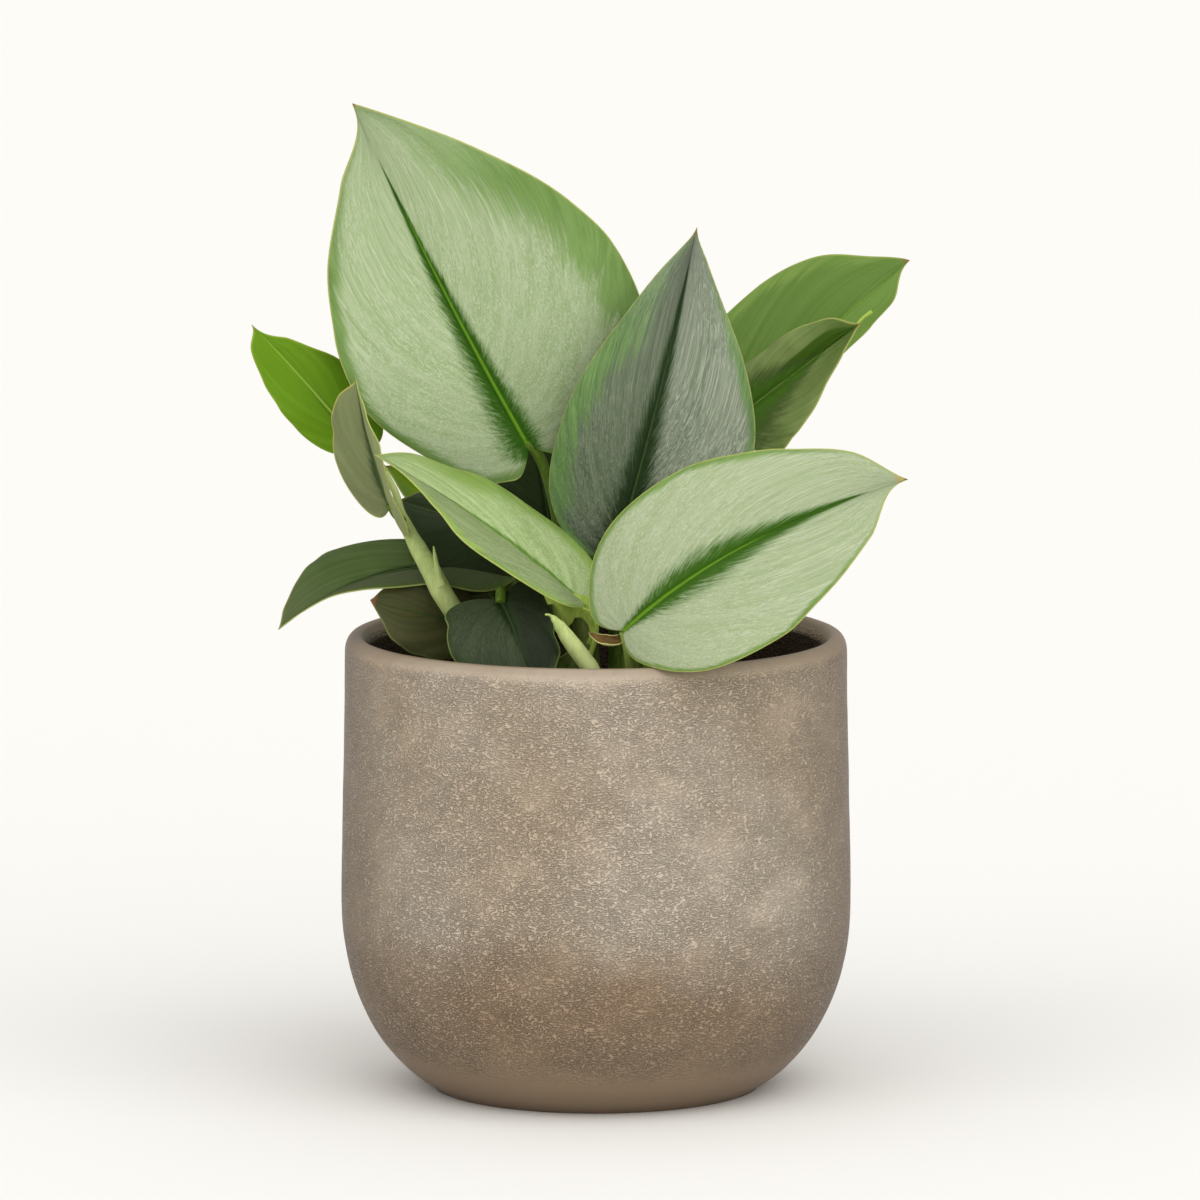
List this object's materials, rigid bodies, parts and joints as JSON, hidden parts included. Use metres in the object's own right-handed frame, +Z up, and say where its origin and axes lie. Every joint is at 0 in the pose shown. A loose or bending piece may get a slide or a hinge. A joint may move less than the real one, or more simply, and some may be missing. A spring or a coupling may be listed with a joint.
{
  "type": "potted moonlight scindapsus",
  "caption": "Climbing foliage plant with silvery heart-shaped leaves on long stalks, growing in a round-bellied stoneware pot filled with soil.",
  "frame": {"origin": "centre of the pot's flat underside, on the surface that it stands on", "axes": "+Z up along the pot's axis; -Y is the front that the picture shows; +X to the right seen from the front"},
  "size_m": [0.1964, 0.1834, 0.296],
  "materials": {
    "stoneware": "matte unglazed stoneware with a fine leathery relief, smooth at the lip and near the foot",
    "soil": "dark crumbly potting mix with bark chips",
    "stem": "smooth pale green stem, satin",
    "leaf_silver": "silvery sage leaf with a dark feathered band along the midrib and green margins",
    "leaf_slate": "darker grey-green silvered leaf with deep green margins",
    "leaf_bright": "plain fresh green leaf, satin",
    "leaf_deep": "deep green leaf in the shade of the others",
    "shoot": "pale yellow-green rolled young leaf",
    "dry_husk": "papery yellow-brown husk"
  },
  "bodies": {
    "root": {"pot": "stoneware", "soil": "soil", "vine_left": "stem", "vine_centre": "stem", "vine_back": "stem", "leaf_tall_left": "leaf_silver", "leaf_tall_centre": "leaf_slate", "leaf_rear_right": "leaf_bright", "leaf_rolled_right": "leaf_bright", "leaf_front_right": "leaf_silver", "leaf_front_centre": "leaf_silver", "leaf_bright_left": "leaf_bright", "leaf_folded_left": "leaf_slate", "leaf_low_left": "leaf_deep", "leaf_rim_left": "leaf_deep", "leaf_rim_centre": "leaf_slate", "leaf_inner_left": "leaf_deep", "leaf_inner_bright": "leaf_bright", "leaf_inner_front": "leaf_deep", "leaf_side_left": "leaf_deep", "leaf_side_right": "leaf_silver", "leaf_back_left": "leaf_silver", "leaf_back_centre": "leaf_silver", "leaf_back_right": "leaf_bright", "leaf_back_upright": "leaf_deep", "new_shoot": "shoot", "dry_sheath": "dry_husk"}
  },
  "joints": []
}
